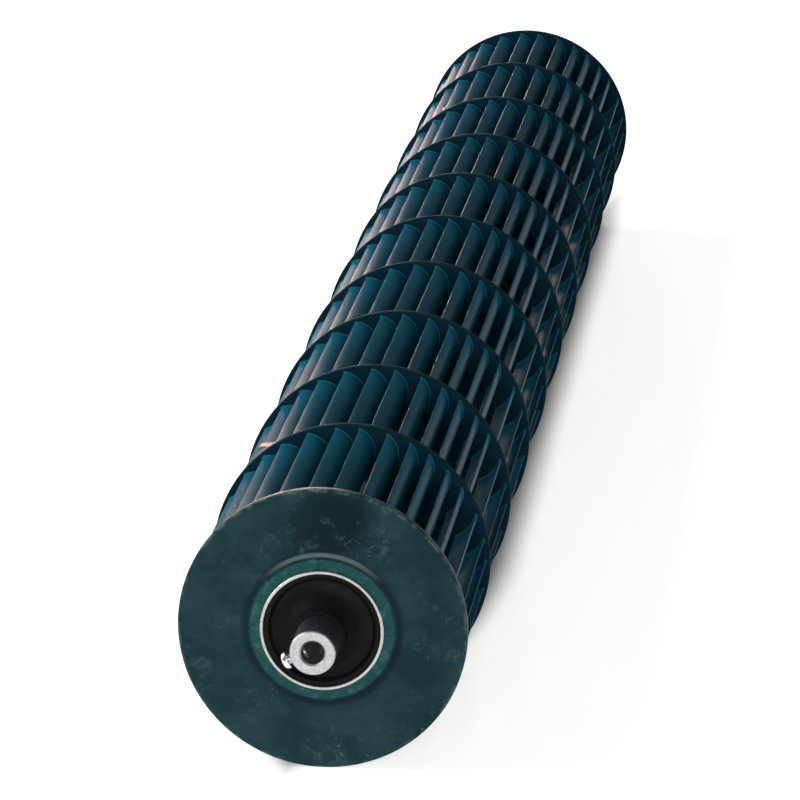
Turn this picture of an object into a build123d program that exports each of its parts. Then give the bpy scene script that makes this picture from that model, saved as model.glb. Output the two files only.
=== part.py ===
"""Cross flow fan: the blower wheel of a wall-mounted air conditioner.

Nine one-piece sections, each a ring with a crown of curved blades, are welded nose to tail between a motor end
cap and a bearing end section. The motor end carries a rubber-damped aluminium hub with a clamp screw, the other
end a steel bearing shaft. The wheel's axis lies along Y, with the motor end towards -Y and +Z up. The origin is
the mouth of the motor bore. All sizes are in millimetres.
"""
from build123d import *
import math
import os

# --- driving dimensions -------------------------------------------------------------------------------------------
wheel_radius = 49.0             # outside of the rings and of both end discs
section_count = 10              # bladed lengths between the end discs; the last one carries the bearing end disc
blade_length = 75.5             # free length of the blades in each section

# blades
blade_gaps = (9.5, 12.3, 12.4, 10.2, 12.0, 10.3, 9.3, 10.0, 9.6, 12.9, 11.5)  # uneven pitch that spreads the tone
gap_repeats = 3                 # the gap pattern goes round the ring this many times
blade_tip_inset = 1.5           # the blade tips lie this far inside the ring's edge
blade_depth = 9.6               # radial depth of the blade crown
blade_sweep = 8.0               # degrees that a blade's tip lags its root, seen from the motor end
blade_thickness = 1.3           # at mid chord
blade_edge = 0.7                # thickness of the blade's two edges
flank_flats = 2                 # flats that stand for the arc of each flank, to keep 330 blades light
section_turns = (3.2, 7.2, 0.0, 5.2, 1.6, 6.4, 2.4, 4.8, 0.8, 5.6)  # degrees at which each section was welded
first_blade_angle = -35.9       # degrees clockwise from the top for the first blade of an unturned section

# rings and end discs
ring_thickness = 2.5
ring_inner_step = 0.9           # the ring reaches this far inside the blades' inner edges
cap_thickness = 3.5             # of the motor end cap at its rim
cap_rim_width = 1.5             # flat rim round the cap's outer face
cap_dish = 1.2                  # the outer face sinks this far from the rim to the foot of the boss
bearing_disc_thickness = 3.0
edge_chamfer = 0.5              # on the rims of the two end discs

# motor end cap
boss_wall = 3.2                 # radial width of the boss's flat top, level with the cap's rim
boss_slope = 2.0                # radial width of its sloping shoulder
sleeve_depth = 14.5             # of the sleeve behind the cap's outer face
rib_count = 8
rib_thickness = 1.6
rib_height = 8.0                # of the cap's inner ribs at the sleeve
rib_toe = 1.0                   # height left at a rib's outer end
rib_margin = 5.3                # between the cap's ribs and the blades' inner edges
cap_notch_count = 8             # marks of the pins that held the steel ring in the mould
cap_notch_width = 2.6
cap_notch_depth = 0.35

# rubber-damped hub
damper_radius = 21.0            # outside of the steel ring
damper_wall = 1.2
damper_proud = 1.3              # of the steel ring before the cap's outer face
damper_width = 15.3
rubber_recess = 0.8             # of the rubber's face behind the steel ring's edge
rubber_lip = 1.6                # width of the lip bonded to the steel ring
rubber_dish = 2.2               # depth of the dished face behind the lip
rubber_flare = 1.0              # slope of the step down from the lip
dish_margin = 3.2               # the dish's floor starts to rise this far outside the collar
dish_rise = 1.6                 # the floor has risen this much there
rubber_inset = 1.0              # the rubber's back face lies this far inside the steel ring
collar_wall = 1.85              # of the rubber collar round the hub, at its root
collar_tip_wall = 0.95
collar_root = 4.8               # the collar starts this far before the cap's outer face
collar_tip = 8.2                # and ends this far before it
hub_radius = 7.75
hub_reach = 24.5                # of the hub before the cap's outer face
hub_chamfer = 0.5
bore_radius = 4.0

# clamp screw
screw_station = 6.0             # from the hub's mouth
screw_angle = 207.0             # degrees anticlockwise from +X, seen from the motor end
screw_radius = 2.0
screw_clearance = 0.05          # between the screw's crests and its hole
screw_tip_clearance = 0.3       # the screw's end stays this far outside the bore
screw_stand_off = 1.8           # of the head's underside above the hub
screw_head_radius = 3.1
screw_head_height = 2.4
recess_width = 0.8              # of the cross recess
recess_length = 3.4
recess_depth = 1.3

# bearing end
shaft_radius = 4.0
shaft_reach = 24.0              # beyond the bearing end boss
shaft_chamfer = 0.6
shaft_grip_radius = 4.4         # over the knurl that the boss grips
shaft_grip_length = 12.0
bearing_boss_radius = 9.0
bearing_boss_height = 4.0       # outside the disc
bearing_boss_depth = 9.0        # inside the disc
bearing_rib_count = 6
bearing_rib_reach = 10.0        # from the boss outwards

# balance clips: a folded strip pressed on the outer edge of a blade
clip_thickness = 0.5
clip_length = 5.0
clip_depth = 3.2                # how far its two legs reach down the blade
clip_clearance = 0.03
clip_places = ((2, -1, 22.0), (9, 1, 8.0))  # section, blade index, distance of the clip's end past the ring

# --- sizes that follow --------------------------------------------------------------------------------------------
cap_face = hub_reach
blade_tip_radius = wheel_radius - blade_tip_inset
blade_root_radius = blade_tip_radius - blade_depth
ring_inner_radius = blade_root_radius - ring_inner_step
sleeve_end = cap_face + sleeve_depth
sleeve_radius = damper_radius + boss_wall
damper_front = cap_face - damper_proud
damper_back = damper_front + damper_width
damper_bore = damper_radius - damper_wall
collar_radius = hub_radius + collar_wall
section_pitch = blade_length + ring_thickness
first_section = cap_face + cap_thickness
disc_inner_face = first_section + (section_count - 1) * section_pitch + blade_length
disc_outer_face = disc_inner_face + bearing_disc_thickness


def station(y):
    """The plane across the axis at y, with its local x and y along X and Z."""
    return Plane.XZ.offset(-y)


def blade_angles():
    """Angles of one section's blades, clockwise from the first blade, seen from the motor end."""
    full_turn = sum(blade_gaps) * gap_repeats
    angles = [0.0]
    for gap in (blade_gaps * gap_repeats)[:-1]:
        angles.append(angles[-1] + 360 * gap / full_turn)
    return angles


def blade_flank(side):
    """Points along one flank of a blade whose root stands at the top of the wheel: side is -1 or +1.

    The camber line is an arc that leaves the root radially and bends anticlockwise to the tip. The blade is
    thickest at mid chord and narrows to blade_edge at both edges.
    """
    sweep = math.radians(blade_sweep)
    tip_x = -blade_tip_radius * math.sin(sweep)
    tip_rise = blade_tip_radius * math.cos(sweep) - blade_root_radius
    turn = 2 * math.atan2(-tip_x, tip_rise)
    camber_radius = math.hypot(tip_x, tip_rise) / (2 * math.sin(turn / 2))
    points = []
    for k in range(flank_flats + 1):
        bend = turn * k / flank_flats
        swell = math.sin(math.pi * k / flank_flats)
        radius = camber_radius + side * (blade_edge + (blade_thickness - blade_edge) * swell) / 2
        points.append((radius * math.cos(bend) - camber_radius, blade_root_radius + radius * math.sin(bend)))
    return points


def draw_blade():
    """Adds one blade's section to the sketch in hand."""
    with BuildLine() as outline:
        Polyline(*blade_flank(-1), *reversed(blade_flank(+1)), close=True)
    make_face(outline.edges())


def draw_crown(turn):
    """Adds the whole crown of blades, turned clockwise by turn degrees."""
    with BuildSketch(mode=Mode.PRIVATE) as blade:
        draw_blade()
    for angle in blade_angles():
        with Locations(Rotation(0, 0, -(first_blade_angle + turn + angle))):
            add(blade.sketch)


def section_start(number):
    """Where the blades of a section begin; sections count from 1 at the motor end."""
    return first_section + (number - 1) * section_pitch


def ring(near, far, outer, inner):
    """A plain ring about the axis between two stations, added to the part in hand."""
    with BuildSketch(station(near)) as profile:
        Circle(outer)
        Circle(inner, mode=Mode.SUBTRACT)
    extrude(profile.sketch, amount=near - far)


def gusset_ribs(count, face, height, inner_radius, outer_radius):
    """Radial ribs on the inner face of an end disc, added to the part in hand."""
    direction = 1 if height > 0 else -1
    for k in range(count):
        with BuildSketch(Plane.XY.rotated((0, 360 / count * (k + 0.5), 0))) as rib:
            with BuildLine():
                Polyline(
                    (inner_radius, face),
                    (inner_radius, face + height),
                    (outer_radius, face + direction * rib_toe),
                    (outer_radius, face),
                    close=True,
                )
            make_face()
        extrude(rib.sketch, amount=rib_thickness / 2, both=True)


# --- blade sections -----------------------------------------------------------------------------------------------
def blade_section(number):
    """A ring with the blades that run from it towards the motor, moulded in one piece."""
    start = section_start(number)
    ring_face = start + blade_length
    with BuildPart() as section:
        ring(ring_face, ring_face + ring_thickness, wheel_radius, ring_inner_radius)
        with BuildSketch(station(start)):
            draw_crown(section_turns[number - 1])
        extrude(amount=-blade_length)
    return section


# --- motor end ----------------------------------------------------------------------------------------------------
with BuildPart() as motor_end_cap:
    with BuildSketch(Plane.XY):
        with BuildLine():
            Polyline(
                (damper_radius, cap_face),
                (sleeve_radius, cap_face),
                (sleeve_radius + boss_slope, cap_face + cap_dish),
                (wheel_radius - cap_rim_width, cap_face),
                (wheel_radius, cap_face),
                (wheel_radius, first_section),
                (sleeve_radius, first_section),
                (sleeve_radius, sleeve_end),
                (damper_radius, sleeve_end),
                close=True,
            )
        make_face()
        chamfer(vertices().group_by(Axis.X)[-1], length=edge_chamfer)
    revolve(axis=Axis.Y)
    with BuildSketch(station(cap_face)):
        with PolarLocations(damper_radius + boss_wall / 2, cap_notch_count):
            Rectangle(boss_wall + boss_slope, cap_notch_width)
    extrude(amount=-cap_notch_depth, mode=Mode.SUBTRACT)
    gusset_ribs(rib_count, first_section, rib_height, damper_radius + boss_wall / 2, blade_root_radius - rib_margin)

with BuildPart() as damper_ring:
    ring(damper_front, damper_back, damper_radius, damper_bore)
    chamfer(edges().filter_by(GeomType.CIRCLE).group_by(Axis.Y)[0], length=damper_wall / 5)

with BuildPart() as rubber_damper:
    lip_face = damper_front + rubber_recess
    dish_face = lip_face + rubber_dish
    with BuildSketch(Plane.XY):
        with BuildLine():
            Polyline(
                (hub_radius, damper_back - rubber_inset),
                (damper_bore, damper_back - rubber_inset),
                (damper_bore, lip_face),
                (damper_bore - rubber_lip, lip_face),
                (damper_bore - rubber_lip - rubber_flare, dish_face),
                (collar_radius + dish_margin, dish_face - dish_rise),
                (collar_radius, cap_face - collar_root),
                (hub_radius + collar_tip_wall, cap_face - collar_tip),
                (hub_radius, cap_face - collar_tip),
                close=True,
            )
        make_face()
    revolve(axis=Axis.Y)

screw_direction = (math.cos(math.radians(screw_angle)), 0, math.sin(math.radians(screw_angle)))
screw_plane = Plane(origin=(0, screw_station, 0), x_dir=(0, 1, 0), z_dir=screw_direction)

with BuildPart() as hub_sleeve:
    with BuildSketch(station(0)):
        Circle(hub_radius)
        Circle(bore_radius, mode=Mode.SUBTRACT)
    extrude(amount=-damper_back)
    chamfer(edges().filter_by(GeomType.CIRCLE), length=hub_chamfer)
    with BuildSketch(screw_plane):
        Circle(screw_radius + screw_clearance)
    extrude(amount=hub_radius + hub_chamfer, mode=Mode.SUBTRACT)

with BuildPart() as clamp_screw:
    shank_start = bore_radius + screw_tip_clearance
    head_seat = hub_radius + screw_stand_off
    with BuildSketch(screw_plane.offset(shank_start)):
        Circle(screw_radius)
    extrude(amount=head_seat - shank_start)
    with BuildSketch(screw_plane.offset(head_seat)):
        Circle(screw_head_radius)
    extrude(amount=screw_head_height)
    head_rim = edges().filter_by(GeomType.CIRCLE).sort_by(Axis((0, screw_station, 0), screw_direction))[-1]
    chamfer(head_rim, length=screw_head_height / 3)
    with BuildSketch(screw_plane.offset(head_seat + screw_head_height)):
        Rectangle(recess_length, recess_width)
        Rectangle(recess_width, recess_length)
    extrude(amount=-recess_depth, mode=Mode.SUBTRACT)

# --- bearing end --------------------------------------------------------------------------------------------------
boss_outer_face = disc_outer_face + bearing_boss_height
boss_inner_face = disc_inner_face - bearing_boss_depth
shaft_start = boss_outer_face - shaft_grip_length

with BuildPart() as bearing_end_section:
    with BuildSketch(Plane.XY):
        with BuildLine():
            Polyline(
                (0, boss_inner_face),
                (bearing_boss_radius, boss_inner_face),
                (bearing_boss_radius, disc_inner_face),
                (wheel_radius, disc_inner_face),
                (wheel_radius, disc_outer_face),
                (bearing_boss_radius, disc_outer_face),
                (bearing_boss_radius, boss_outer_face),
                (0, boss_outer_face),
                close=True,
            )
        make_face()
        chamfer(vertices().group_by(Axis.X)[-1], length=edge_chamfer)
    revolve(axis=Axis.Y)
    rib_root = (shaft_grip_radius + bearing_boss_radius) / 2
    gusset_ribs(bearing_rib_count, disc_inner_face, -rib_height, rib_root, bearing_boss_radius + bearing_rib_reach)
    with BuildSketch(station(section_start(section_count))):
        draw_crown(section_turns[section_count - 1])
    extrude(amount=-blade_length)
    with BuildSketch(station(shaft_start)):
        Circle(shaft_grip_radius)
    extrude(amount=-shaft_grip_length, mode=Mode.SUBTRACT)

with BuildPart() as bearing_shaft:
    with BuildSketch(station(shaft_start)):
        Circle(shaft_grip_radius)
    extrude(amount=-shaft_grip_length)
    with BuildSketch(station(boss_outer_face)):
        Circle(shaft_radius)
    extrude(amount=-shaft_reach)
    chamfer(edges().sort_by(Axis.Y)[-1], length=shaft_chamfer)


# --- balance clips ------------------------------------------------------------------------------------------------
def balance_clip(section, blade, distance):
    """A strip folded over the outer edge of one blade, distance past the ring before its section."""
    turn = first_blade_angle + section_turns[section - 1] + blade_angles()[blade]
    with BuildPart() as clip:
        with BuildSketch(station(section_start(section) + distance)):
            with BuildSketch(mode=Mode.PRIVATE) as upright:
                draw_blade()
            outline = upright.sketch.rotate(Axis.Z, -turn)
            offset(outline, amount=clip_clearance + clip_thickness)
            offset(outline, amount=clip_clearance, mode=Mode.SUBTRACT)
            Circle(blade_tip_radius - clip_depth, mode=Mode.SUBTRACT)
        extrude(amount=-clip_length)
    return clip


pieces = {
    "motor_end_cap": motor_end_cap,
    "damper_ring": damper_ring,
    "rubber_damper": rubber_damper,
    "hub_sleeve": hub_sleeve,
    "clamp_screw": clamp_screw,
    "bearing_end_section": bearing_end_section,
    "bearing_shaft": bearing_shaft,
}
for number in range(1, section_count):
    pieces[f"blade_section_{number}"] = blade_section(number)
for number, place in enumerate(clip_places, start=1):
    pieces[f"balance_clip_{number}"] = balance_clip(*place)

os.makedirs("parts", exist_ok=True)
for name, piece in pieces.items():
    piece.part.label = name
    export_step(piece.part, f"parts/{name}.step")
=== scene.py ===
"""Looks of the cross flow fan wheel: plastic, steel, rubber, aluminium and clips, on a pale floor.

The wheel lies along Y with its motor end towards -Y. All lengths are in metres.
"""
import math

import bpy
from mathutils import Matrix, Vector


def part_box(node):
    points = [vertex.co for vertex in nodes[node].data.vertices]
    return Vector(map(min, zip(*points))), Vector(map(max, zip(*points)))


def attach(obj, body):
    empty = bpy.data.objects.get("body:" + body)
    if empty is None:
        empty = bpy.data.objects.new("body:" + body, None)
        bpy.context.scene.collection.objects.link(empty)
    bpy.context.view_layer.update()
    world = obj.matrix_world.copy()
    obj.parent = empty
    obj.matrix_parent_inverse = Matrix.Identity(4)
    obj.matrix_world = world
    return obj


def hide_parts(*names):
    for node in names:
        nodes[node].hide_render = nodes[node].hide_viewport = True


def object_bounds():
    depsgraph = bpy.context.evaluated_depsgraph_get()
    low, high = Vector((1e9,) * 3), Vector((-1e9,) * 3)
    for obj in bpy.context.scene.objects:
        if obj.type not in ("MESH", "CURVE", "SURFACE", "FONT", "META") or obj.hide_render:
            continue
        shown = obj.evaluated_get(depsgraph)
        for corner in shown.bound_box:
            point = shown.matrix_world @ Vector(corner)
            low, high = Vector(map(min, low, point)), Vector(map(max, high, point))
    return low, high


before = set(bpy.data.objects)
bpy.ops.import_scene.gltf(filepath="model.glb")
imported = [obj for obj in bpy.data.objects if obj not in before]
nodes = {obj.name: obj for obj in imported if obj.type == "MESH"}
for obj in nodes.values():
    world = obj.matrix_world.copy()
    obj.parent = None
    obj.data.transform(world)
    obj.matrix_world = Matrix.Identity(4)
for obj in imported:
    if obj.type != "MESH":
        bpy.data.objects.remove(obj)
cad_low, cad_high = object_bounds()
MM = 0.001

# --- camera -------------------------------------------------------------------------------------------------
cap_low, cap_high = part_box("motor_end_cap")
WHEEL_RADIUS = cap_high.x
CAP_FACE = cap_low.y

CAMERA_AZIMUTH = math.radians(6.54)
CAMERA_ELEVATION = math.radians(15.78)
CAMERA_OFFSET = Vector((4.005, -30.251, 10.256)) * WHEEL_RADIUS
CAMERA_LENS_MM = 211.5

camera_data = bpy.data.cameras.new("camera")
camera_data.lens = CAMERA_LENS_MM
camera_data.sensor_width = 36
camera_data.clip_end = 100
camera = bpy.data.objects.new("camera", camera_data)
bpy.context.scene.collection.objects.link(camera)
camera.location = Vector((0, CAP_FACE, 0)) + CAMERA_OFFSET
looking = Vector((
    -math.sin(CAMERA_AZIMUTH) * math.cos(CAMERA_ELEVATION),
    math.cos(CAMERA_AZIMUTH) * math.cos(CAMERA_ELEVATION),
    -math.sin(CAMERA_ELEVATION),
))
camera.rotation_mode = "QUATERNION"
camera.rotation_quaternion = looking.to_track_quat("-Z", "Y")
bpy.context.scene.camera = camera


# --- meshes -------------------------------------------------------------------------------------------------
SHARP_EDGE = math.radians(35)
ROUNDING_SHARE = 0.45


def make_object(name, vertices, faces):
    """A mesh object with smooth shading, split at its sharp edges."""
    mesh = bpy.data.meshes.new(name)
    mesh.from_pydata(vertices, [], faces)
    mesh.validate()
    mesh.shade_smooth()
    mesh.set_sharp_from_angle(angle=SHARP_EDGE)
    made = bpy.data.objects.new(name, mesh)
    bpy.context.scene.collection.objects.link(made)
    return made


class MeshParts:
    """Vertices and faces gathered for one piece."""

    def __init__(self):
        self.vertices = []
        self.faces = []

    def add(self, vertices, faces):
        first = len(self.vertices)
        self.vertices += vertices
        self.faces += [[first + corner for corner in face] for face in faces]

    def finish(self, name):
        return make_object(name, self.vertices, self.faces)


def spun(profile, steps, sink=None):
    """Turns a closed profile of (radius, y) points about the Y axis into vertices and quads.

    The points run anticlockwise. sink(angle, r, y), when given, says how far each point moves along +Y.
    """
    vertices = []
    for k in range(steps):
        angle = 2 * math.pi * k / steps
        for r, y in profile:
            moved = y + sink(angle, r, y) if sink else y
            vertices.append((r * math.cos(angle), moved, r * math.sin(angle)))
    count = len(profile)
    faces = []
    for k in range(steps):
        here, after = k * count, (k + 1) % steps * count
        for i in range(count):
            j = (i + 1) % count
            faces.append([here + i, here + j, after + j, after + i])
    return vertices, faces


def rounded(corners, rounding, steps=4):
    """The closed polygon of (x, y) corners, with each one rounded by a curve.

    A curve starts rounding away from its corner, or at ROUNDING_SHARE of an edge that is too short for that.
    """
    points = []
    count = len(corners)
    for i, corner in enumerate(corners):
        here = Vector(corner)
        before = Vector(corners[i - 1]) - here
        after = Vector(corners[(i + 1) % count]) - here
        reach = rounding[i] if isinstance(rounding, (list, tuple)) else rounding
        if reach == 0:
            points.append(tuple(here))
            continue
        reach = min(reach, before.length * ROUNDING_SHARE, after.length * ROUNDING_SHARE)
        start, end = here + before.normalized() * reach, here + after.normalized() * reach
        for k in range(steps + 1):
            t = k / steps
            points.append(tuple(start * (1 - t) ** 2 + here * 2 * t * (1 - t) + end * t ** 2))
    return points


# --- blades -------------------------------------------------------------------------------------------------
BLADE_GAPS = (9.5, 12.3, 12.4, 10.2, 12.0, 10.3, 9.3, 10.0, 9.6, 12.9, 11.5)
GAP_REPEATS = 3
SECTION_COUNT = 9
SECTION_TURNS = (3.2, 7.2, 0.0, 5.2, 1.6, 6.4, 2.4, 4.8, 0.8, 5.6)
FIRST_BLADE_ANGLE = -35.9
BLADE_TIP_RADIUS = WHEEL_RADIUS - 1.5 * MM
BLADE_ROOT_RADIUS = BLADE_TIP_RADIUS - 9.6 * MM
BLADE_SWEEP = math.radians(8.0)
BLADE_THICKNESS = 1.3 * MM
BLADE_EDGE = 0.7 * MM
RING_THICKNESS = 2.5 * MM
SECTION_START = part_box("blade_section_1")[0].y
SECTION_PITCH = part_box("blade_section_2")[0].y - SECTION_START
BLADE_LENGTH = SECTION_PITCH - RING_THICKNESS
RING_INNER_RADIUS = BLADE_ROOT_RADIUS - 0.9 * MM
FLANK_STEPS = 10
NOSE_STEPS = 4
ROOT_FILLET = 0.55 * MM
FILLET_STEPS = 3
WELD_BEAD = 0.2 * MM
RING_ROUNDING = 0.45 * MM
RIM_STEPS = 192


def blade_angles():
    """Angles of one section's blades, clockwise from the first, seen from the motor end."""
    whole = sum(BLADE_GAPS) * GAP_REPEATS
    angles = [0.0]
    for gap in (BLADE_GAPS * GAP_REPEATS)[:-1]:
        angles.append(angles[-1] + 2 * math.pi * gap / whole)
    return angles


def blade_outline():
    """Points and outward normals round a blade's section, its root at the top of the wheel."""
    tip_x = -BLADE_TIP_RADIUS * math.sin(BLADE_SWEEP)
    tip_rise = BLADE_TIP_RADIUS * math.cos(BLADE_SWEEP) - BLADE_ROOT_RADIUS
    turn = 2 * math.atan2(-tip_x, tip_rise)
    camber = math.hypot(tip_x, tip_rise) / (2 * math.sin(turn / 2))
    nose = BLADE_EDGE / 2
    outline = []

    def on_camber(bend, offset):
        radius = camber + offset
        return Vector((radius * math.cos(bend) - camber, BLADE_ROOT_RADIUS + radius * math.sin(bend)))

    trim = nose / camber
    for side in (1, -1):
        flank = []
        for k in range(FLANK_STEPS + 1):
            t = k / FLANK_STEPS
            bend = trim + (turn - 2 * trim) * t
            swell = nose + (BLADE_THICKNESS - BLADE_EDGE) / 2 * math.sin(math.pi * t)
            flank.append((on_camber(bend, side * swell), Vector((math.cos(bend), math.sin(bend))) * side))
        outline += flank if side == 1 else flank[::-1]
        end = turn - trim if side == 1 else trim
        centre = on_camber(end, 0)
        for k in range(1, NOSE_STEPS):
            angle = end + math.pi * k / NOSE_STEPS + (0 if side == 1 else math.pi)
            normal = Vector((math.cos(angle), math.sin(angle)))
            outline.append((centre + normal * nose, normal))
    return outline


OUTLINE = blade_outline()


def blade(parts, angle, start, ring_face):
    """Adds one blade, from its welded end at start to the fillet at its own ring's face."""
    stations = [(start, WELD_BEAD), (start + WELD_BEAD, 0.0)]
    for k in range(FILLET_STEPS + 1):
        lift = math.pi / 2 * k / FILLET_STEPS
        stations.append((ring_face - ROOT_FILLET * (1 - math.sin(lift)), ROOT_FILLET * (1 - math.cos(lift))))
    cosine, sine = math.cos(angle), math.sin(angle)
    vertices = []
    for y, grown in stations:
        for point, normal in OUTLINE:
            x, z = point + normal * grown
            vertices.append((x * cosine + z * sine, y, z * cosine - x * sine))
    count = len(OUTLINE)
    faces = [list(range(count))]
    for row in range(len(stations) - 1):
        for i in range(count):
            j = (i + 1) % count
            low, high = row * count, (row + 1) * count
            faces.append([low + i, high + i, high + j, low + j])
    parts.add(vertices, faces)


def crown(parts, number, start, ring_face):
    """Adds all the blades of a section; sections count from 1 at the motor end."""
    for angle in blade_angles():
        turned = math.radians(FIRST_BLADE_ANGLE + SECTION_TURNS[number - 1])
        blade(parts, angle + turned, start, ring_face)


def section(number):
    """One moulded section: its ring and the blades that run from it towards the motor."""
    low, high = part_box(f"blade_section_{number}")
    ring_face = high.y - RING_THICKNESS
    parts = MeshParts()
    crown(parts, number, low.y, ring_face)
    corners = [
        (RING_INNER_RADIUS, ring_face),
        (WHEEL_RADIUS, ring_face),
        (WHEEL_RADIUS, high.y),
        (RING_INNER_RADIUS, high.y),
    ]
    parts.add(*spun(rounded(corners, RING_ROUNDING), RIM_STEPS))
    piece = parts.finish(f"section_{number}")
    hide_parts(f"blade_section_{number}")
    return piece


# --- motor end cap ------------------------------------------------------------------------------------------
DAMPER_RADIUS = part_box("damper_ring")[1].x
SLEEVE_RADIUS = DAMPER_RADIUS + 3.2 * MM
BOSS_FOOT_RADIUS = SLEEVE_RADIUS + 2.0 * MM
CAP_DISH = 1.2 * MM
CAP_THICKNESS = 3.5 * MM
CAP_RIM_WIDTH = 1.5 * MM
NOTCH_COUNT = 8
NOTCH_WIDTH = 2.6 * MM
NOTCH_DEPTH = 0.35 * MM
NOTCH_EDGE = 0.25 * MM
NOTCH_REACH = 0.5 * MM
NOTCH_MARGIN = 0.3 * MM
BOSS_TOP_ROW = 1.5 * MM
CAP_STEPS = 480
RIB_THICKNESS = 1.6 * MM
RIB_HEEL = 8 * MM
RIB_TOE = 1 * MM
CAP_RIB_COUNT = 8
CAP_RIB_TO_BLADES = 5.3 * MM


def ease(t):
    t = min(1.0, max(0.0, t))
    return t * t * (3 - 2 * t)


def notch_sink(angle, r, y):
    """Depth of the pin marks on the flat top of the boss."""
    if y > CAP_FACE + NOTCH_MARGIN or r > SLEEVE_RADIUS + NOTCH_REACH:
        return 0.0
    spacing = 2 * math.pi / NOTCH_COUNT
    across = abs((angle + spacing / 2) % spacing - spacing / 2) * r
    return NOTCH_DEPTH * ease((NOTCH_WIDTH / 2 - across) / NOTCH_EDGE + 0.5)


def gusset(parts, angle, face, heel, toe, inner_radius, outer_radius):
    """Adds a rib on an end disc's inner face, heel high at inner_radius and toe high at outer_radius."""
    corners = [
        (inner_radius, face),
        (inner_radius, face + heel),
        (outer_radius, face + toe),
        (outer_radius, face),
    ]
    cosine, sine = math.cos(angle), math.sin(angle)
    vertices = []
    for side in (-RIB_THICKNESS / 2, RIB_THICKNESS / 2):
        vertices += [(r * cosine - side * sine, y, r * sine + side * cosine) for r, y in corners]
    flanks = [[0, 1, 2, 3], [7, 6, 5, 4]]
    edges = [[i, 4 + i, 4 + (i + 1) % 4, (i + 1) % 4] for i in range(4)]
    parts.add(vertices, flanks + edges)


def motor_cap():
    """The motor end cap with its rounded boss, dished face, pin marks, sleeve and inner ribs."""
    inner_face = CAP_FACE + CAP_THICKNESS
    corners = [
        (DAMPER_RADIUS, CAP_FACE),
        (DAMPER_RADIUS + BOSS_TOP_ROW, CAP_FACE),
        (SLEEVE_RADIUS, CAP_FACE),
        (BOSS_FOOT_RADIUS, CAP_FACE + CAP_DISH),
        (WHEEL_RADIUS - CAP_RIM_WIDTH, CAP_FACE),
        (WHEEL_RADIUS, CAP_FACE),
        (WHEEL_RADIUS, inner_face),
        (SLEEVE_RADIUS, inner_face),
        (SLEEVE_RADIUS, cap_high.y),
        (DAMPER_RADIUS, cap_high.y),
    ]
    rounding = [v * MM for v in (0.15, 0, 0.7, 1.6, 3.0, 0.6, 0.5, 0.8, 0.3, 0.3)]
    parts = MeshParts()
    parts.add(*spun(rounded(corners, rounding), CAP_STEPS, sink=notch_sink))
    inside = (DAMPER_RADIUS + SLEEVE_RADIUS) / 2
    for k in range(CAP_RIB_COUNT):
        angle = 2 * math.pi * (k + 0.5) / CAP_RIB_COUNT
        gusset(parts, angle, inner_face, RIB_HEEL, RIB_TOE, inside, BLADE_ROOT_RADIUS - CAP_RIB_TO_BLADES)
    piece = parts.finish("motor_cap")
    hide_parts("motor_end_cap")
    return piece


# --- rubber damper ------------------------------------------------------------------------------------------
HUB_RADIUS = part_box("hub_sleeve")[1].x
LIP_SETBACK = 0.8 * MM
LIP_WIDTH = 1.6 * MM
DISH_DEPTH = 2.2 * MM
DISH_EDGE = 2.6 * MM
DISH_FALL = 1.6 * MM
COLLAR_WALL = 1.85 * MM
COLLAR_FOOT = 3.2 * MM
COLLAR_BEND = 4.8 * MM
COLLAR_END_WALL = 0.95 * MM
DAMPER_STEPS = 192


def damper():
    """The rubber between the steel ring and the hub: a bonded lip, a dish and a collar up the hub."""
    low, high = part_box("rubber_damper")
    ring_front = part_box("damper_ring")[0].y
    bore = high.x
    lip_face = ring_front + LIP_SETBACK
    dish_face = lip_face + DISH_DEPTH
    collar = HUB_RADIUS + COLLAR_WALL
    corners = [
        (HUB_RADIUS, high.y),
        (bore, high.y),
        (bore, lip_face),
        (bore - LIP_WIDTH, lip_face),
        (bore - DISH_EDGE, dish_face),
        (collar + COLLAR_FOOT, dish_face - DISH_FALL),
        (collar, CAP_FACE - COLLAR_BEND),
        (HUB_RADIUS + COLLAR_END_WALL, low.y),
        (HUB_RADIUS, low.y),
    ]
    rounding = [v * MM for v in (0.2, 0.3, 0.25, 0.5, 1.0, 2.4, 1.2, 0.3, 0.1)]
    parts = MeshParts()
    parts.add(*spun(rounded(corners, rounding, steps=6)[::-1], DAMPER_STEPS))
    piece = parts.finish("damper")
    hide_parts("rubber_damper")
    return piece


# --- clamp screw --------------------------------------------------------------------------------------------
SCREW_STATION = 6 * MM
SCREW_ANGLE = math.radians(207.0)
SCREW_START = 4.3 * MM
SCREW_SEAT = HUB_RADIUS + 1.8 * MM
SCREW_RADIUS = 2.0 * MM
THREAD_PITCH = 0.7 * MM
THREAD_DEPTH = 0.38 * MM
HEAD_RADIUS = 3.1 * MM
HEAD_HEIGHT = 2.4 * MM
RECESS_HALF_LENGTH = 1.7 * MM
RECESS_HALF_WIDTH = 0.4 * MM
RECESS_DEPTH = 1.3 * MM
RECESS_TAPER_RADIUS = 1.25 * RECESS_HALF_LENGTH
RECESS_END_FADE = 0.3 * MM
RECESS_SIDE_FADE = 0.16 * MM
HEAD_SHOULDER = 0.35 * MM
HEAD_EDGE_HEIGHT = 0.9 * MM
CENTRE_HOLE = 0.02 * MM
SCREW_STEPS = 72
THREAD_ROWS = 80
SHOULDER_ROWS = 4
DOME_ROWS = 34


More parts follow.
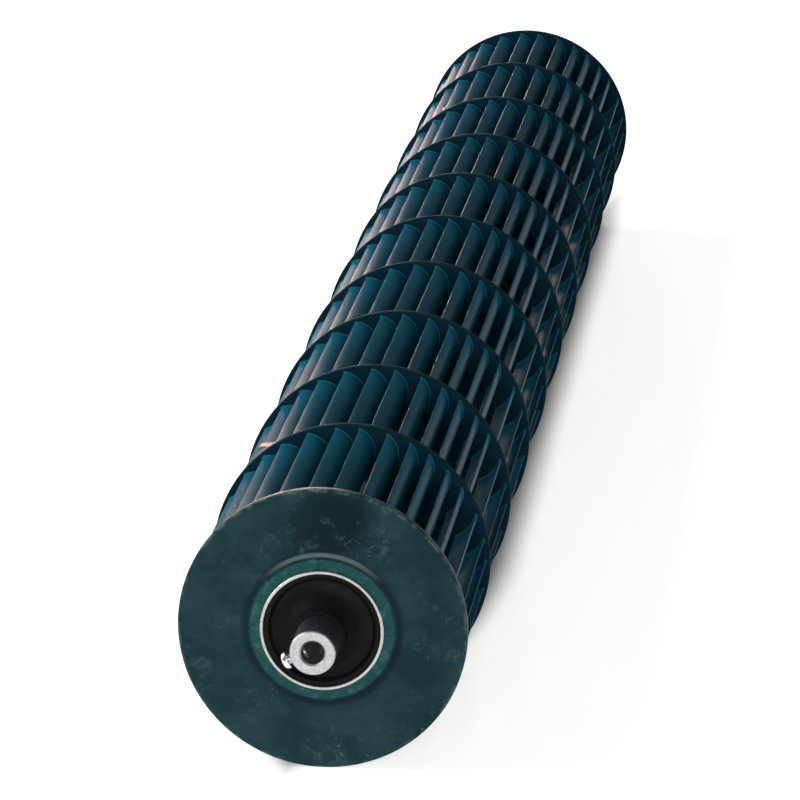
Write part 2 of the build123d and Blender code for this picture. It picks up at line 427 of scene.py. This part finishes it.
def screw():
    """A pan head screw with a cross recess, its thread running from the hub's bore to the head."""
    out = Vector((math.cos(SCREW_ANGLE), 0, math.sin(SCREW_ANGLE)))
    along = Vector((0, 1, 0))
    across = out.cross(along)
    origin = Vector((0, cad_low.y + SCREW_STATION, 0))
    rows = []

    def row(height, radius_at, lift_at=None):
        points = []
        for k in range(SCREW_STEPS):
            angle = 2 * math.pi * k / SCREW_STEPS
            radius = radius_at(angle)
            x, y = radius * math.cos(angle), radius * math.sin(angle)
            lifted = height + (lift_at(x, y) if lift_at else 0.0)
            points.append(tuple(origin + out * lifted + along * x + across * y))
        rows.append(points)

    def crest(height):
        """The thread's radius at this height, as a function of the angle."""
        def radius_at(angle):
            phase = (height / THREAD_PITCH - angle / (2 * math.pi)) % 1.0
            return SCREW_RADIUS - THREAD_DEPTH * (1 - abs(2 * phase - 1))
        return radius_at

    def plain(radius):
        """The same radius at every angle."""
        return lambda angle: radius

    def recess(x, y):
        """How far the cross recess drops the head's top at x, y."""
        inner = 1 - min(1.0, math.hypot(x, y) / RECESS_TAPER_RADIUS)
        deepest = 0.0
        for a, b in ((x, y), (y, x)):
            lengthwise = ease((RECESS_HALF_LENGTH - abs(a)) / RECESS_END_FADE + 0.5)
            sideways = ease((RECESS_HALF_WIDTH - abs(b)) / RECESS_SIDE_FADE + 0.5)
            deepest = max(deepest, lengthwise * sideways)
        return -RECESS_DEPTH * deepest * (0.45 + 0.55 * inner)

    row(SCREW_START, plain(CENTRE_HOLE))
    for k in range(THREAD_ROWS + 1):
        height = SCREW_START + (SCREW_SEAT - SCREW_START) * k / THREAD_ROWS
        row(height, crest(height))
    row(SCREW_SEAT, plain(HEAD_RADIUS - HEAD_SHOULDER))
    for k in range(1, SHOULDER_ROWS + 1):
        turn = math.pi / 2 * k / SHOULDER_ROWS
        radius = HEAD_RADIUS - HEAD_SHOULDER * (1 - math.sin(turn))
        row(SCREW_SEAT + HEAD_SHOULDER * (1 - math.cos(turn)), plain(radius))
    for k in range(DOME_ROWS):
        radius = HEAD_RADIUS * (1 - k / DOME_ROWS)
        rise = (1 - (radius / HEAD_RADIUS) ** 4) ** 0.5
        height = SCREW_SEAT + HEAD_EDGE_HEIGHT + (HEAD_HEIGHT - HEAD_EDGE_HEIGHT) * rise
        row(height, plain(max(radius, CENTRE_HOLE)), recess)
    parts = MeshParts()
    vertices = [point for points in rows for point in points]
    faces = [list(range(SCREW_STEPS))[::-1]]
    for i in range(len(rows) - 1):
        low, high = i * SCREW_STEPS, (i + 1) * SCREW_STEPS
        for k in range(SCREW_STEPS):
            j = (k + 1) % SCREW_STEPS
            faces.append([low + k, low + j, high + j, high + k])
    last = (len(rows) - 1) * SCREW_STEPS
    faces.append(list(range(last, last + SCREW_STEPS)))
    parts.add(vertices, faces)
    piece = parts.finish("screw")
    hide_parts("clamp_screw")
    return piece


# --- bearing end --------------------------------------------------------------------------------------------
BEARING_BOSS_RADIUS = 9 * MM
BEARING_BOSS_STANDOUT = 4 * MM
BEARING_BOSS_DEPTH = 9 * MM
BEARING_DISC_THICKNESS = 3 * MM
SHAFT_GRIP_RADIUS = 4.4 * MM
SHAFT_POCKET_DEPTH = 12 * MM
BEARING_CORE_RADIUS = 0.2 * MM
BEARING_RIB_COUNT = 6
BEARING_RIB_LENGTH = 10 * MM


def bearing_end():
    """The last crown of blades with the bearing end disc, its boss and its inner ribs."""
    low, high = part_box("bearing_end_section")
    boss_face = high.y
    outer_face = boss_face - BEARING_BOSS_STANDOUT
    inner_face = outer_face - BEARING_DISC_THICKNESS
    pocket_floor = boss_face - SHAFT_POCKET_DEPTH
    boss_back = inner_face - BEARING_BOSS_DEPTH
    boss = BEARING_BOSS_RADIUS
    grip = SHAFT_GRIP_RADIUS
    corners = [
        (BEARING_CORE_RADIUS, pocket_floor),
        (grip, pocket_floor),
        (grip, boss_face),
        (boss, boss_face),
        (boss, outer_face),
        (WHEEL_RADIUS, outer_face),
        (WHEEL_RADIUS, inner_face),
        (boss, inner_face),
        (boss, boss_back),
        (BEARING_CORE_RADIUS, boss_back),
    ]
    rounding = [v * MM for v in (0, 0.1, 0.2, 0.7, 1.0, 0.6, 0.5, 0.8, 0.5, 0)]
    parts = MeshParts()
    parts.add(*spun(rounded(corners, rounding)[::-1], RIM_STEPS))
    for k in range(BEARING_RIB_COUNT):
        angle = 2 * math.pi * (k + 0.5) / BEARING_RIB_COUNT
        gusset(parts, angle, inner_face, -RIB_HEEL, -RIB_TOE, (grip + boss) / 2, boss + BEARING_RIB_LENGTH)
    crown(parts, SECTION_COUNT + 1, low.y, inner_face)
    piece = parts.finish("bearing_end")
    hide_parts("bearing_end_section")
    return piece


# --- materials ----------------------------------------------------------------------------------------------
class Shader:
    """Builds one material's node tree."""

    def __init__(self, name):
        self.material = bpy.data.materials.new(name)
        self.material.use_nodes = True
        self.tree = self.material.node_tree
        self.tree.nodes.clear()
        self.place = self.node("ShaderNodeTexCoord").outputs["Object"]

    def node(self, kind, values=(), **settings):
        """A node with its settings, and each input in values set to a value or linked to an output."""
        made = self.tree.nodes.new(kind)
        for key, setting in settings.items():
            setattr(made, key, setting)
        for key, value in dict(values).items():
            if isinstance(value, bpy.types.NodeSocket):
                self.tree.links.new(value, made.inputs[key])
            else:
                made.inputs[key].default_value = value
        return made

    def noise(self, scale, detail=4.0, roughness=0.55, distortion=0.0):
        """Noise over the object; scale is in features per metre."""
        values = {"Vector": self.place, "Scale": scale, "Detail": detail}
        values |= {"Roughness": roughness, "Distortion": distortion}
        return self.node("ShaderNodeTexNoise", values).outputs["Fac"]

    def spread(self, value, low, high, to_low=0.0, to_high=1.0):
        """Remaps value from low..high to to_low..to_high, clamped and smooth."""
        values = {"Value": value, "From Min": low, "From Max": high, "To Min": to_low, "To Max": to_high}
        return self.node("ShaderNodeMapRange", values, interpolation_type="SMOOTHSTEP").outputs["Result"]

    def band(self, value, rise_start, rise_end, fall_start, fall_end):
        """1 where value is from rise_end to fall_start, and 0 before rise_start and past fall_end."""
        risen = self.spread(value, rise_start, rise_end)
        return self.maths("MULTIPLY", risen, self.spread(value, fall_start, fall_end, 1.0, 0.0))

    def maths(self, operation, a, b=0.0):
        return self.node("ShaderNodeMath", {0: a, 1: b}, operation=operation).outputs[0]

    def mix(self, factor, a, b):
        """Colour a where factor is 0 and b where it is 1."""
        made = self.node("ShaderNodeMix", data_type="RGBA")
        for socket, value in ((made.inputs[0], factor), (made.inputs[6], a), (made.inputs[7], b)):
            if isinstance(value, bpy.types.NodeSocket):
                self.tree.links.new(value, socket)
            elif isinstance(value, (int, float)):
                socket.default_value = value
            else:
                socket.default_value = (*value, 1.0)
        return made.outputs[2]

    def tint(self, colour, mask, amount, paint):
        """Lays paint over colour, as much of it as amount says where mask is 1."""
        return self.mix(self.maths("MULTIPLY", mask, amount), colour, paint)

    def vector_maths(self, operation, a, b=(0, 0, 0)):
        return self.node("ShaderNodeVectorMath", {0: a, 1: b}, operation=operation).outputs

    def radius(self):
        """Distance from the wheel's axis."""
        flat = self.vector_maths("MULTIPLY", self.place, (1, 0, 1))["Vector"]
        return self.vector_maths("LENGTH", flat)["Value"]

    def finish(self, colour, roughness, metallic=0.0, bump=None, strength=0.2, depth=0.1 * MM, specular=0.5):
        """Joins everything to a surface shader and returns the material."""
        surface = self.node("ShaderNodeBsdfPrincipled")
        for key, value in (("Base Color", colour), ("Roughness", roughness), ("Metallic", metallic)):
            if isinstance(value, bpy.types.NodeSocket):
                self.tree.links.new(value, surface.inputs[key])
            else:
                surface.inputs[key].default_value = (*value, 1.0) if isinstance(value, tuple) else value
        surface.inputs["Specular IOR Level"].default_value = specular
        if bump is not None:
            values = {"Height": bump, "Strength": strength, "Distance": depth}
            normal = self.node("ShaderNodeBump", values).outputs["Normal"]
            self.tree.links.new(normal, surface.inputs["Normal"])
        out = self.node("ShaderNodeOutputMaterial")
        self.tree.links.new(surface.outputs[0], out.inputs["Surface"])
        return self.material


def blade_plastic():
    """Dark teal glass-filled plastic of the blades and rings, with a slight moulded grain and dust.

    It has a painted highlight, brightest at the blade tips by each ring, a painted highlight line where each
    blade meets its ring, and painted shade on the rings.
    """
    shader = Shader("blade_plastic")
    colour = shader.mix(shader.noise(40, 5), (0.002, 0.046, 0.070), (0.004, 0.066, 0.098))
    radius = shader.radius()
    lengthwise = shader.node("ShaderNodeSeparateXYZ", {0: shader.place}).outputs["Y"]
    along = shader.maths("MODULO", shader.maths("SUBTRACT", lengthwise, SECTION_START), SECTION_PITCH)
    # Painted highlight: the blades are painted brighter towards their tips, most of all by each ring.
    highlight_by_ring = shader.spread(along, BLADE_LENGTH - 55 * MM, BLADE_LENGTH - 5 * MM, 0.35, 1.0)
    towards_tip = shader.spread(radius, BLADE_ROOT_RADIUS + 3 * MM, BLADE_TIP_RADIUS)
    colour = shader.tint(colour, highlight_by_ring, towards_tip, (0.004, 0.112, 0.182))
    # Painted highlight: a bright line on each blade where it meets its ring.
    ring_join_highlight = shader.spread(along, BLADE_LENGTH - 1.2 * MM, BLADE_LENGTH - 0.5 * MM)
    colour = shader.tint(colour, ring_join_highlight, 0.5, (0.030, 0.220, 0.260))
    # Painted shade: the rings are painted darker. The same mask also makes them rougher.
    on_ring = shader.spread(along, BLADE_LENGTH - 0.15 * MM, BLADE_LENGTH - 0.05 * MM)
    colour = shader.tint(colour, on_ring, 0.95, (0.002, 0.018, 0.034))
    dust = shader.spread(shader.noise(500, 3), 0.62, 0.75)
    colour = shader.tint(colour, dust, 0.10, (0.09, 0.13, 0.13))
    roughness = shader.spread(radius, BLADE_ROOT_RADIUS, BLADE_ROOT_RADIUS + 5 * MM, 0.6, 0.46)
    roughness = shader.maths("ADD", roughness, shader.maths("MULTIPLY", on_ring, 0.3))
    return shader.finish(colour, roughness, bump=shader.noise(2600, 3), strength=0.1, specular=0.07)


# Where the painted dark reflection on the cap lies, and how uneven its edge is.
DARK_REFLECTION_CENTRE = (5 * MM, CAP_FACE, 36 * MM)
DARK_REFLECTION_UNEVENNESS = 30 * MM


def cap_plastic():
    """The same plastic on the motor end cap, rubbed and smudged on its face and cleaner on the boss."""
    shader = Shader("cap_plastic")
    radius = shader.radius()
    patches = shader.noise(38, 8, 0.65)
    colour = shader.mix(shader.spread(patches, 0.38, 0.62), (0.011, 0.038, 0.044), (0.023, 0.066, 0.076))

    # A painted reflection: a dark patch above the boss.
    from_dark_reflection = shader.vector_maths("SUBTRACT", shader.place, DARK_REFLECTION_CENTRE)["Vector"]
    uneven = shader.maths("MULTIPLY", shader.maths("SUBTRACT", patches, 0.5), DARK_REFLECTION_UNEVENNESS)
    away = shader.maths("ADD", shader.vector_maths("LENGTH", from_dark_reflection)["Value"], uneven)
    dark_reflection = shader.spread(away, 6 * MM, 21 * MM, 0.95, 0.0)
    colour = shader.mix(dark_reflection, colour, (0.004, 0.020, 0.024))

    # Pale smears and flecks, in clouds.
    cloudy = shader.spread(shader.noise(55, 6, 0.6, 0.5), 0.46, 0.62)
    smears = shader.spread(shader.noise(150, 9, 0.78, 1.2), 0.50, 0.66)
    smears = shader.maths("MULTIPLY", smears, cloudy)
    colour = shader.tint(colour, smears, 0.8, (0.075, 0.130, 0.138))
    flecks = shader.spread(shader.noise(600, 4, 0.6, 0.4), 0.64, 0.72)
    colour = shader.tint(colour, flecks, shader.maths("MULTIPLY", cloudy, 0.7), (0.18, 0.26, 0.27))

    # Painted shade: a dark band round the boss's foot. A painted highlight: a light arc on that band's top.
    sleeve, foot_radius = SLEEVE_RADIUS, BOSS_FOOT_RADIUS
    foot_shade = shader.band(radius, sleeve + 0.6 * MM, sleeve + 1.2 * MM, foot_radius, foot_radius + 2.2 * MM)
    colour = shader.tint(colour, foot_shade, 0.7, (0.004, 0.018, 0.026))
    # Painted highlight: the boss's shoulder is painted lighter on the top of the cap only.
    top_highlight = shader.band(radius, sleeve + 0.9 * MM, sleeve + 1.3 * MM, foot_radius, foot_radius + 0.9 * MM)
    height = shader.node("ShaderNodeSeparateXYZ", {0: shader.place}).outputs["Z"]
    upper = shader.spread(height, 0.6 * foot_radius, 0.95 * foot_radius)
    colour = shader.tint(colour, top_highlight, shader.maths("MULTIPLY", upper, 0.8), (0.15, 0.21, 0.21))

    # The boss.
    boss = shader.mix(patches, (0.016, 0.080, 0.080), (0.028, 0.112, 0.112))
    rubbed = shader.spread(shader.noise(300, 6, 0.7), 0.52, 0.64)
    boss = shader.tint(boss, rubbed, 0.5, (0.09, 0.20, 0.20))
    on_boss = shader.spread(radius, sleeve - 0.2 * MM, sleeve + 0.6 * MM, 1.0, 0.0)
    colour = shader.mix(on_boss, colour, boss)

    # Scuffs on the rim.
    rim = shader.spread(radius, WHEEL_RADIUS - 1.4 * MM, WHEEL_RADIUS - 0.2 * MM)
    scuffs = shader.maths("MULTIPLY", rim, shader.spread(shader.noise(260, 6, 0.7), 0.47, 0.60))
    colour = shader.tint(colour, scuffs, 0.5, (0.16, 0.23, 0.23))
    roughness = shader.spread(patches, 0.3, 0.7, 0.36, 0.55)
    return shader.finish(colour, roughness, bump=shader.noise(1500, 4), strength=0.15, specular=0.06)


LATHE_PITCH = 0.12 * MM


def metal(name, colour, roughness, turned=0.0, dark_side_reflection=None):
    """Bare metal with fine handling marks.

    turned is the strength of the lathe lines about the axis. The last argument, when given, is a darker
    colour painted on the hub's outside: a painted reflection of dark surroundings.
    """
    shader = Shader(name)
    marks = shader.noise(900, 5, 0.6)
    shade = shader.mix(shader.spread(marks, 0.35, 0.7), colour, tuple(c * 0.8 for c in colour))
    # Painted reflection: the hub's outside is painted darker, standing in for the dark surroundings it
    # reflects.
    if dark_side_reflection:
        outside = shader.spread(shader.radius(), HUB_RADIUS - 0.3 * MM, HUB_RADIUS - 0.1 * MM)
        shade = shader.mix(outside, shade, dark_side_reflection)
    lines = shader.noise(60, 2)
    if turned:
        lines = shader.maths("SINE", shader.maths("MULTIPLY", shader.radius(), 2 * math.pi / LATHE_PITCH))
    rough = shader.spread(marks, 0.3, 0.7, roughness * 0.8, roughness * 1.25)
    strength = turned if turned else 0.05
    return shader.finish(shade, rough, metallic=1.0, bump=lines, strength=strength, depth=0.02 * MM)


def rubber():
    """Black moulded rubber with a little brown dust."""
    shader = Shader("rubber")
    dust = shader.spread(shader.noise(420, 6, 0.7), 0.60, 0.78)
    colour = shader.tint((0.009, 0.007, 0.007), dust, 0.35, (0.07, 0.055, 0.04))
    rough = shader.spread(shader.noise(150, 4), 0.3, 0.7, 0.45, 0.62)
    return shader.finish(colour, rough, bump=shader.noise(1200, 4), strength=0.2, specular=0.1)


def assign(piece, material):
    piece.data.materials.clear()
    piece.data.materials.append(material)


BLADE_PLASTIC = blade_plastic()
CAP_PLASTIC = cap_plastic()
STEEL = metal("bright_steel", (0.56, 0.56, 0.55), 0.36)
ALUMINIUM = metal("turned_aluminium", (0.52, 0.53, 0.54), 0.40, turned=0.2, dark_side_reflection=(0.16, 0.17, 0.21))
ZINC = metal("zinc_plate", (0.78, 0.80, 0.83), 0.18)
COPPER = metal("clip_strip", (0.50, 0.30, 0.20), 0.48)
RUBBER = rubber()

# --- pieces -------------------------------------------------------------------------------------------------
for number in range(1, SECTION_COUNT + 1):
    piece = section(number)
    assign(piece, BLADE_PLASTIC)
    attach(piece, "root")

for piece, material, slot in (
    (motor_cap(), CAP_PLASTIC, "plastic"),
    (bearing_end(), BLADE_PLASTIC, "plastic"),
    (damper(), RUBBER, "rubber"),
    (screw(), ZINC, "screw"),
):
    assign(piece, material)
    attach(piece, "root")

for name, material in (
    ("damper_ring", STEEL),
    ("bearing_shaft", STEEL),
    ("hub_sleeve", ALUMINIUM),
    ("balance_clip_1", COPPER),
    ("balance_clip_2", COPPER),
):
    assign(nodes[name], material)

# --- floor, world and lights --------------------------------------------------------------------------------
FLOOR_SIZE = 40.0
FLOOR_GLOW = 0.75
WORLD_LIGHT = 0.2
FLOOR_COLOUR = (0.8, 0.8, 0.8)
STRIP_COLOUR = (0.06, 0.06, 0.06)
STRIP_MIDDLE = -12 * MM
STRIP_PAINT_EDGE = (26 * MM, 38 * MM)
STRIP_GLOW_EDGE = (46 * MM, 62 * MM)
STRIP_END = (cad_high.y - 30 * MM, cad_high.y + 100 * MM)
STRIP_FULL_WIDTH_FROM = CAP_FACE + 240 * MM
STRIP_NARROWING = 0.9

floor_mesh = bpy.data.meshes.new("floor")
half = FLOOR_SIZE / 2
floor_corners = [(-half, -half, 0), (half, -half, 0), (half, half, 0), (-half, half, 0)]
floor_mesh.from_pydata(floor_corners, [], [[0, 1, 2, 3]])
floor = bpy.data.objects.new("floor", floor_mesh)
floor.location.z = cad_low.z
bpy.context.scene.collection.objects.link(floor)


def floor_material():
    """A pale floor that the camera and reflections see as white, save for a strip under the wheel.

    The strip doesn't glow. For the camera and reflections its middle is also painted dark, which covers lamp
    light that reaches the floor there. That is paint and not a shadow: it stays whatever the lamps do, and it
    runs on past the bearing end. Towards the motor end the strip narrows, by the square of the distance.
    """
    shader = Shader("floor")
    plain = shader.node("ShaderNodeBsdfDiffuse", {"Color": (*FLOOR_COLOUR, 1)}).outputs[0]
    place = shader.node("ShaderNodeSeparateXYZ", {0: shader.place}).outputs
    short = shader.maths("MAXIMUM", shader.maths("SUBTRACT", STRIP_FULL_WIDTH_FROM, place["Y"]), 0.0)
    narrower = shader.maths("MULTIPLY", shader.maths("MULTIPLY", short, short), STRIP_NARROWING)
    across = shader.maths("ABSOLUTE", shader.maths("SUBTRACT", place["X"], STRIP_MIDDLE))
    across = shader.maths("ADD", across, narrower)
    beyond = shader.spread(place["Y"], *STRIP_END)
    glowing = shader.maths("MAXIMUM", shader.spread(across, *STRIP_GLOW_EDGE), beyond)
    strength = shader.maths("MULTIPLY", glowing, FLOOR_GLOW)
    glow = shader.node("ShaderNodeEmission", {"Color": (1, 1, 1, 1), "Strength": strength}).outputs[0]
    unpainted = shader.maths("MAXIMUM", shader.spread(across, *STRIP_PAINT_EDGE), beyond)
    paint = shader.mix(unpainted, STRIP_COLOUR, FLOOR_COLOUR)
    painted = shader.node("ShaderNodeBsdfDiffuse", {"Color": paint}).outputs[0]
    seen = shader.node("ShaderNodeAddShader", {0: painted, 1: glow}).outputs[0]
    path = shader.node("ShaderNodeLightPath").outputs
    direct = shader.maths("MAXIMUM", path["Is Camera Ray"], path["Is Transmission Ray"])
    direct = shader.maths("MAXIMUM", direct, path["Is Glossy Ray"])
    both = shader.node("ShaderNodeMixShader", {0: direct, 1: plain, 2: seen}).outputs[0]
    out = shader.node("ShaderNodeOutputMaterial")
    shader.tree.links.new(both, out.inputs["Surface"])
    return shader.material


assign(floor, floor_material())

world = bpy.data.worlds.new("studio")
bpy.context.scene.world = world
world.use_nodes = True
background = world.node_tree.nodes["Background"]
background.inputs["Color"].default_value = (1, 1, 1, 1)
background.inputs["Strength"].default_value = WORLD_LIGHT
bpy.context.scene.view_settings.view_transform = "Standard"


def area_light(name, place, aim, width, height, watts, colour=(1, 1, 1)):
    """A soft rectangular lamp at place that faces aim."""
    data = bpy.data.lights.new(name, "AREA")
    data.shape = "RECTANGLE"
    data.size = width
    data.size_y = height
    data.energy = watts
    data.color = colour
    lamp = bpy.data.objects.new(name, data)
    lamp.location = place
    lamp.rotation_mode = "QUATERNION"
    lamp.rotation_quaternion = (Vector(aim) - Vector(place)).to_track_quat("-Z", "Y")
    lamp.visible_camera = False
    bpy.context.scene.collection.objects.link(lamp)


middle = (cad_low + cad_high) / 2
area_light("key", (-2.2, 0.4, 1.3), middle, 2.0, 2.0, 62)
area_light("warm_card", (-0.58, 3.0, 0.22), middle, 0.62, 0.46, 26, (1.0, 0.76, 0.70))
area_light("front", (0.3, -2.4, 0.9), (0, 0, 0), 1.0, 1.0, 26)
